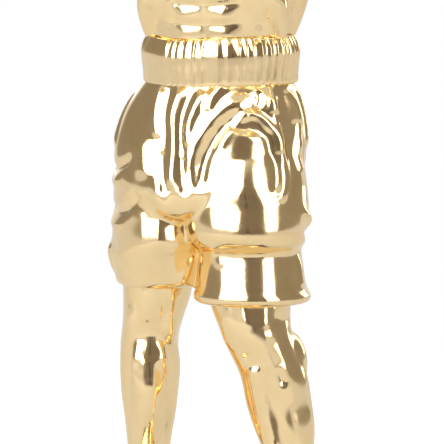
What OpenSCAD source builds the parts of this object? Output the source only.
// Boxer figure trophy: a gold-plated boxer in separate mouldings, screwed to a plated
// disc that is bolted through a polished stone plinth.
// +Z is up, +X is to the right of a person who faces the trophy, and the boxer looks
// towards -Y. The origin is the centre of the plinth's underside, on the shelf.

/* [Figure] */
// Height of the boxer from sole to crown
figure_h = 160; // [150:1:170]
// Turn of the hips and chest away from square-on, in degrees
body_turn = -18; // [-24:1:-12]
// Turn of the head, in degrees
head_turn = -6; // [-12:1:6]

/* [Plinth] */
// Side of the square stone plinth
plinth_w = 74; // [70:1:90]
// Height of the stone
plinth_h = 24; // [20:1:40]
// Chamfer round the plinth's top edge
plinth_chamfer = 2; // [1:0.5:3]
// Thickness of the felt under the plinth
felt_t = 1.5; // [1:0.5:2]

/* [Disc] */
// Radius of the plated disc under the boots
disc_r = 31.5; // [31:0.5:33]
// Height of the disc
disc_h = 6; // [5:0.5:8]
// Wall of the disc moulding
disc_wall = 2; // [1.5:0.1:2.5]

/* [Fastening] */
// Radius of the stud that holds the figure down
stud_r = 3; // [2.5:0.5:3]
// Radius of the counterbore under the plinth
counterbore_r = 10; // [9:0.5:12]
// Depth of the counterbore
counterbore_h = 10; // [9:1:12]
// Radius of the screws that hold the boots
screw_r = 1.2; // [1:0.1:1.5]
// Clearance round a shaft in its hole
clearance = 0.05; // [0.03:0.01:0.1]

/* [Nameplate] */
// Width of the blank engraving plate
plate_w = 50; // [40:1:60]
// Height of the plate
plate_h = 12; // [10:1:16]
// Thickness of the plate
plate_t = 0.8; // [0.6:0.1:1.2]
// Thickness of the tape behind the plate
tape_t = 0.3; // [0.2:0.1:0.5]

/* [Hidden] */
$fn = 48;
model_h = 160;            // the figure's stations below are drawn at this height
k = figure_h / model_h;
sides = 20;               // sides of a limb's rings
wide_sides = 28;          // sides of a trunk's rings
plinth_top = felt_t + plinth_h;
sole_z = plinth_top + disc_h;
stance = [3, 6];          // from the plinth's centre to the figure's own axis

gold = [0.93, 0.74, 0.42];
stone = [0.08, 0.08, 0.09];
steel = [0.7, 0.7, 0.72];
felt = [0.1, 0.25, 0.16];

// Where the pieces meet, as heights above the sole
band_low = 92.4;
band_high = 100.6;
waist_joint = 96.5;
thigh_top = 75;
boot_top = 24.6;
neck_joint = 136.5;
spigot_r = 2.4;
spigot_h = 5;

// Joints of the skeleton
left_ankle = [15.2, -11, 7];
right_ankle = [-13.8, 11, 7];
left_toe = [11.8, -29, 2.6];
right_toe = [-25.5, -2.5, 2.6];
left_shoulder = [17.6, -6.6, 130];
left_elbow = [24.5, -29, 115.6];
left_wrist = [14, -41, 131.5];
right_shoulder = [-18.2, 5, 130];
right_elbow = [-26, -15, 115.2];
right_wrist = [-12.5, -24.5, 130.5];
left_fist = [10.8, -44.6, 137.4];
right_fist = [-8, -27.4, 136.4];

// A ring of the sweep: [x, y, z, half width, half depth]
left_leg_rings = [
    [4.6, -3.2, thigh_top, 7.4, 8],
    [4.8, -4.6, 62, 7.7, 8.2],
    [5.0, -5.6, 54, 7.5, 7.8],
    [5.9, -6.2, 48.5, 6.6, 6.9],
    [7.4, -6.6, 44, 6.3, 6.6],
    [9.4, -6.4, 39.6, 6.0, 6.4],
    [10.3, -6.6, 35, 5.9, 6.4],
    [11.0, -7.6, 30.8, 5.5, 5.6],
    [12.2, -8.8, boot_top, 4.3, 4.4],
];
right_leg_rings = [
    [-11.2, 4.4, thigh_top, 7.0, 7.6],
    [-11.6, 5.2, 62, 6.9, 7.5],
    [-11.8, 5.6, 54, 6.3, 7.0],
    [-12.7, 6.0, 48.5, 5.5, 6.1],
    [-13.3, 6.4, 44.2, 5.3, 5.8],
    [-13.2, 8.0, 39.6, 5.6, 6.2],
    [-13.3, 8.8, 35, 5.3, 6.0],
    [-13.3, 9.2, 30.8, 4.8, 5.3],
    [-13.5, 9.8, boot_top, 3.9, 4.1],
];
torso_rings = [
    [-0.3, 0.5, waist_joint, 12.5, 8.6],
    [-0.3, 0.5, band_high, 12.9, 9.0],
    [-0.1, 0.4, 104, 14.2, 9.6],
    [0.0, 0.2, 108, 14.9, 10.2],
    [0.0, 0.0, 115, 16.8, 11.2],
    [0.0, 0.2, 122, 18.0, 11.6],
    [-0.1, 0.8, 127.6, 17.2, 10.2],
    [-0.2, 1.6, 131.5, 13.4, 8.0],
    [-0.4, 1.8, 134.4, 8.2, 6.4],
    [-0.5, 1.4, neck_joint, 5.8, 5.6],
];
head_rings = [
    [-0.5, 1.4, neck_joint, 5.0, 5.0],
    [-0.7, 0.2, 141, 4.9, 5.4],
    [-0.9, -1.8, 143, 6.2, 7.8],
    [-1.0, -1.6, 147, 7.2, 8.9],
    [-1.0, -1.0, 152, 7.6, 9.2],
    [-1.0, -0.6, 156, 6.9, 8.2],
    [-1.0, -0.4, 158.8, 4.4, 5.4],
    [-1.0, -0.4, model_h, 1.2, 1.6],
];
shorts_trunk_rings = [
    [-2.0, 0.8, 69.6, 15.6, 10.6],
    [-2.0, 0.6, 76, 18.0, 12.8],
    [-2.0, 0.6, 82, 17.8, 12.6],
    [-1.4, 0.6, 87.5, 16.4, 11.6],
    [-0.8, 0.5, 91.2, 14.4, 10.2],
    [-0.4, 0.5, band_low, 13.2, 9.2],
];
left_hem_rings = [
    [5.4, -5.2, 53.4, 10.4, 10.8],
    [5.2, -4.8, 60, 9.4, 10.6],
    [5.0, -3.6, 68, 9.4, 10.6],
    [4.8, -2.4, 78, 9.6, 10.4],
];
right_hem_rings = [
    [-12.2, 5.4, 55.4, 7.2, 9.6],
    [-12.6, 5.2, 61, 8.0, 9.8],
    [-11.8, 4.6, 68, 7.8, 9.8],
    [-11.0, 3.4, 78, 8.0, 9.6],
];
band_rings = [
    [-0.3, 0.5, band_low, 13.9, 9.9],
    [-0.3, 0.5, 95, 14.5, 10.4],
    [-0.3, 0.5, 98, 14.6, 10.5],
    [-0.3, 0.5, band_high, 13.9, 9.8],
];
// A ring across an arm: [share of the way, radius], from shoulder to elbow to wrist
upper_arm_rings = [[0, 4.6], [0.18, 5.4], [0.42, 5.0], [0.7, 4.3], [0.92, 3.9]];
forearm_rings = [[0.1, 4.2], [0.35, 4.3], [0.7, 3.4], [1, 2.8]];
thigh_gap = 0.9;          // between a thigh and the inside of the shorts
cavity_low = 50;

function unit(v) = v / norm(v);
function mix(a, b, t) = a + (b - a) * t;
function head_part(p, n) = [for (i = [0:n - 1]) p[i]];

// An ellipse of n points round c, square to the direction t, its width along wide
function ellipse_ring(c, t, wide, a, b, n) =
    let (w = unit(t), u = unit(wide - w * (wide * w)), v = cross(w, u))
    [for (i = [0:n - 1]) c + a * cos(360 * i / n) * u + b * sin(360 * i / n) * v];

// A closed solid through rings that hold the same number of points, from low to high
module loft(rings) {
    n = len(rings[0]);
    m = len(rings);
    points = [for (r = rings) each r];
    side = [for (j = [0:m - 2], i = [0:n - 1])
        let (a = j * n + i, b = j * n + (i + 1) % n)
        each [[a, a + n, b], [b, a + n, b + n]]];
    low = [for (i = [1:n - 2]) [0, i, i + 1]];
    high = [for (i = [1:n - 2]) [(m - 1) * n, (m - 1) * n + i + 1, (m - 1) * n + i]];
    polyhedron(points = points, faces = concat(side, low, high));
}

// A stack of level rings, each [x, y, z, half width, half depth], turned by turn degrees
module stack(stations, turn, n = sides, grow = 0) {
    across = [cos(turn), sin(turn), 0];
    order = stations[0][2] < stations[1][2]
        ? stations
        : [for (i = [len(stations) - 1:-1:0]) stations[i]];
    loft([for (s = order)
        ellipse_ring(head_part(s, 3), [0, 0, 1], across, s[3] + grow, s[4] + grow, n)]);
}

// Carries the boxer from the figure's own axis to its place on the disc
module on_disc() {
    translate([stance[0], stance[1], sole_z]) scale([k, k, k]) children();
}

module felt_pad() {
    color(felt) translate([0, 0, felt_t / 2]) cube([plinth_w - 3, plinth_w - 3, felt_t], center = true);
}

module plinth() {
    upright = plinth_h - plinth_chamfer;
    color(stone) difference() {
        translate([0, 0, felt_t]) hull() {
            translate([0, 0, upright / 2]) cube([plinth_w, plinth_w, upright], center = true);
            translate([0, 0, plinth_h / 2])
                cube([plinth_w - 2 * plinth_chamfer, plinth_w - 2 * plinth_chamfer, plinth_h], center = true);
        }
        translate([0, 0, felt_t - 1]) cylinder(h = plinth_h + 2, r = stud_r + 0.5);
        translate([0, 0, felt_t - 1]) cylinder(h = counterbore_h + 1, r = counterbore_r);
    }
}

module plate_block(t) {
    translate([-plate_w / 2, -t, felt_t + (plinth_h - plinth_chamfer - plate_h) / 2]) cube([plate_w, t, plate_h]);
}

module nameplate_tape() {
    color("white") translate([0, -plinth_w / 2, 0]) plate_block(tape_t);
}

module nameplate() {
    color(gold) translate([0, -plinth_w / 2 - tape_t, 0]) plate_block(plate_t);
}

stud_head_h = 3;
stud_head_r = 5.2;
nut_h = 5;
nut_r = 5.7;
washer_h = 1.2;
washer_r = 7;
bore_roof = felt_t + counterbore_h;

module stud() {
    color(steel) union() {
        translate([0, 0, felt_t + 1]) cylinder(h = plinth_h, r = stud_r);
        translate([0, 0, plinth_top]) cylinder(h = stud_head_h, r = stud_head_r, $fn = 6);
    }
}

module washer() {
    color(steel) translate([0, 0, bore_roof - washer_h]) difference() {
        cylinder(h = washer_h, r = washer_r);
        translate([0, 0, -1]) cylinder(h = washer_h + 2, r = stud_r + 0.2);
    }
}

module nut() {
    color(steel) translate([0, 0, bore_roof - washer_h - nut_h]) difference() {
        cylinder(h = nut_h, r = nut_r, $fn = 6);
        translate([0, 0, -1]) cylinder(h = nut_h + 2, r = stud_r + clearance);
    }
}

// Where each screw comes up through the disc, under the ankle
left_screw_xy = [stance[0] + k * left_ankle[0], stance[1] + k * left_ankle[1]];
right_screw_xy = [stance[0] + k * right_ankle[0], stance[1] + k * right_ankle[1]];
screw_grip = 5;
screw_head_r = 2.4;
screw_head_h = 1.4;
socket_r = 6.2;           // the round well that holds the stud's head

module figure_disc() {
    lip = 1.2;
    color(gold) translate([0, 0, plinth_top]) difference() {
        rotate_extrude($fn = 96) polygon([
            [0, 0], [disc_r, 0], [disc_r, disc_h - lip], [disc_r - lip, disc_h], [0, disc_h],
        ]);
        difference() {
            translate([0, 0, -1]) cylinder(h = disc_h - disc_wall + 1, r = disc_r - disc_wall);
            translate([0, 0, -2]) cylinder(h = disc_h, r = socket_r + disc_wall);
        }
        translate([0, 0, -1]) cylinder(h = stud_head_h + 1, r = socket_r);
        for (p = [left_screw_xy, right_screw_xy])
            translate([p[0], p[1], -1]) cylinder(h = disc_h + 2, r = screw_r + 0.2);
    }
}

module boot_screw(p) {
    color(steel) translate([p[0], p[1], sole_z]) union() {
        translate([0, 0, -disc_wall - screw_head_h / 2])
            cylinder(h = disc_wall + screw_head_h / 2 + screw_grip, r = screw_r);
        translate([0, 0, -disc_wall - screw_head_h]) cylinder(h = screw_head_h, r = screw_head_r);
    }
}

module left_boot_screw() { boot_screw(left_screw_xy); }
module right_boot_screw() { boot_screw(right_screw_xy); }

// A boot: a shaft up the shin, a foot forward of the ankle and a flat sole
module boot(leg_rings, ankle, toe) {
    last = leg_rings[len(leg_rings) - 1];
    forward = unit([toe[0] - ankle[0], toe[1] - ankle[1], 0]);
    heel = [ankle[0], ankle[1], 0] - 4.6 * forward;
    ball = [toe[0], toe[1], 0] - 3 * forward;
    color(gold) difference() {
        on_disc() union() {
            stack([
                [ankle[0], ankle[1], 2, 4.4, 4.8],
                [ankle[0], ankle[1], ankle[2], 4.3, 4.7],
                mix([ankle[0], ankle[1], 11, 4.0, 4.2], last, 0.1),
                [last[0], last[1], boot_top - 1, last[3] + 0.9, last[4] + 0.9],
                [last[0], last[1], boot_top, last[3] + 0.6, last[4] + 0.6],
            ], 0);
            hull() {
                translate(heel) cylinder(h = 5, r = 4.6, $fn = 28);
                translate(ball) cylinder(h = 3, r = 5.2, $fn = 28);
                translate([toe[0], toe[1], 0]) cylinder(h = 2.6, r = 3.9, $fn = 28);
                translate([ankle[0], ankle[1], 6]) cylinder(h = 3, r = 4.2, $fn = 28);
            }
        }
        translate([stance[0] + k * ankle[0], stance[1] + k * ankle[1], sole_z - 1])
            cylinder(h = screw_grip + 1.2, r = screw_r + clearance);
        on_disc() translate([last[0], last[1], boot_top - spigot_h - 0.2])
            cylinder(h = spigot_h + 1, r = spigot_r + clearance);
    }
}

module left_boot() { boot(left_leg_rings, left_ankle, left_toe); }
module right_boot() { boot(right_leg_rings, right_ankle, right_toe); }

// A leg from inside the shorts to the top of the boot, with a spigot at each end
module leg(rings) {
    top = rings[0];
    low = rings[len(rings) - 1];
    color(gold) on_disc() union() {
        stack(rings, 0);
        translate([top[0], top[1], thigh_top - 1]) cylinder(h = spigot_h + 1, r = spigot_r);
        translate([low[0], low[1], boot_top - spigot_h]) cylinder(h = spigot_h + 1, r = spigot_r);
    }
}

module left_leg() { leg(left_leg_rings); }
module right_leg() { leg(right_leg_rings); }

// The well inside the shorts that a thigh goes up into, with its spigot hole
module thigh_well(rings) {
    inner = [for (r = rings) if (r[2] > cavity_low) r];
    flared = concat(inner, [[inner[len(inner) - 1][0], inner[len(inner) - 1][1], cavity_low,
        inner[0][3], inner[0][4]]]);
    stack(flared, 0, grow = thigh_gap);
}

module shorts() {
    color(gold) on_disc() difference() {
        union() {
            stack(shorts_trunk_rings, body_turn, wide_sides);
            stack(left_hem_rings, 0, wide_sides);
            stack(right_hem_rings, 0, wide_sides);
            stack([[-0.3, 0.5, band_low - 1, 12.5, 8.6], [-0.3, 0.5, waist_joint, 12.5, 8.6]],
                body_turn, wide_sides);
        }
        for (rings = [left_leg_rings, right_leg_rings]) {
            thigh_well(rings);
            translate([rings[0][0], rings[0][1], thigh_top - 1])
                cylinder(h = spigot_h + 1.2, r = spigot_r + clearance);
        }
        translate([-0.3, 0.5, waist_joint - spigot_h - 0.2])
            cylinder(h = spigot_h + 1, r = 2 * spigot_r + clearance);
    }
}

module waistband() {
    color(gold) on_disc() difference() {
        stack(band_rings, body_turn, wide_sides);
        stack([[-0.3, 0.5, band_low - 1, 13.0, 9.1], [-0.3, 0.5, band_high + 1, 13.0, 9.1]],
            body_turn, wide_sides);
    }
}

// Sockets in the trunk for the arms, and the hole for the neck's spigot
module torso() {
    color(gold) on_disc() difference() {
        union() {
            stack(torso_rings, body_turn, wide_sides);
            translate([-0.3, 0.5, waist_joint - spigot_h]) cylinder(h = spigot_h + 1, r = 2 * spigot_r);
        }
        translate([-0.5, 1.4, neck_joint - spigot_h - 0.2])
            cylinder(h = spigot_h + 1, r = spigot_r + clearance);
        arm_seat(left_shoulder);
        arm_seat(right_shoulder);
    }
}

module head() {
    color(gold) on_disc() union() {
        stack(head_rings, head_turn, wide_sides);
        translate([-0.5, 1.4, neck_joint - spigot_h]) cylinder(h = spigot_h + 1, r = spigot_r);
    }
}

joint_half = 14.4;        // from the chest's middle to the flat where an arm is glued on

// Everything outside the flat face that the arm is glued to, as seen from the chest
module arm_side(shoulder) {
    rotate([0, 0, body_turn]) translate([shoulder[0] > 0 ? joint_half : -joint_half - 40, -40, 117])
        cube([40, 80, 40]);
}

module arm_seat(shoulder) {
    arm_side(shoulder);
    seat_hole(shoulder, clearance);
}

// The spigot between an arm and the chest, on the line through both shoulders
module seat_hole(shoulder, gap) {
    outward = shoulder[0] > 0 ? 1 : -1;
    rotate([0, 0, body_turn])
        translate([outward * (joint_half - spigot_h - (gap > 0 ? 0.2 : 0)), 1.2, 127])
        rotate([0, 90 * outward, 0])
        cylinder(h = spigot_h + 1.5, r = spigot_r + gap);
}

function arm_ring(a, b, r, wide) = ellipse_ring(mix(a, b, r[0]), b - a, wide, r[1], r[1], sides);

// An arm: a deltoid cap cut flat against the chest, upper arm, elbow and forearm
module arm(shoulder, elbow, wrist) {
    wide = cross(elbow - shoulder, wrist - elbow);
    color(gold) on_disc() difference() {
        union() {
            intersection() {
                union() {
                    loft([for (r = upper_arm_rings) arm_ring(shoulder, elbow, r, wide)]);
                    translate(shoulder) sphere(r = 5.6, $fn = 28);
                }
                arm_side(shoulder);
            }
            translate(elbow) sphere(r = 4.1, $fn = 24);
            loft([for (r = forearm_rings) arm_ring(elbow, wrist, r, wide)]);
            seat_hole(shoulder, 0);
        }
        glove_socket(elbow, wrist);
    }
}

function pointing(d) = [0, acos(d[2] / norm(d)), atan2(d[1], d[0])];

// A spigot on the glove goes back into the forearm along the arm's own line
module glove_socket(elbow, wrist) {
    translate(wrist) rotate(pointing(wrist - elbow)) translate([0, 0, -4.2])
        cylinder(h = 6, r = 1.4 + clearance, $fn = 32);
}

module left_arm() { arm(left_shoulder, left_elbow, left_wrist); }
module right_arm() { arm(right_shoulder, right_elbow, right_wrist); }

glue_gap = 0.02;

// A glove: a cuff that starts at the wrist, the padded fist and the thumb
module glove(elbow, wrist, fist, thumb) {
    along = unit(wrist - elbow);
    color(gold) on_disc() union() {
        loft([for (s = [[glue_gap, 3.4], [0.6, 4.0], [4, 4.2], [5.4, 4.4]])
            ellipse_ring(wrist + along * s[0], along, [0, 0, 1], s[1], s[1], sides)]);
        translate(fist) rotate(pointing(along)) resize([12.6, 13.2, 15.4]) sphere(r = 7, $fn = 28);
        hull() {
            translate(fist + thumb) sphere(r = 2.3, $fn = 20);
            translate(fist + 0.6 * thumb - 3 * along) sphere(r = 2.2, $fn = 20);
        }
        translate(wrist) rotate(pointing(along)) translate([0, 0, -4]) cylinder(h = 5, r = 1.4, $fn = 32);
    }
}

module left_glove() { glove(left_elbow, left_wrist, left_fist, [-5.6, 1.0, 2.2]); }
module right_glove() { glove(right_elbow, right_wrist, right_fist, [5.4, 1.4, 2.2]); }

felt_pad();
plinth();
nameplate();
nameplate_tape();
stud();
washer();
nut();
figure_disc();
left_boot_screw();
right_boot_screw();
left_boot();
right_boot();
left_leg();
right_leg();
shorts();
waistband();
torso();
head();
left_arm();
right_arm();
left_glove();
right_glove();
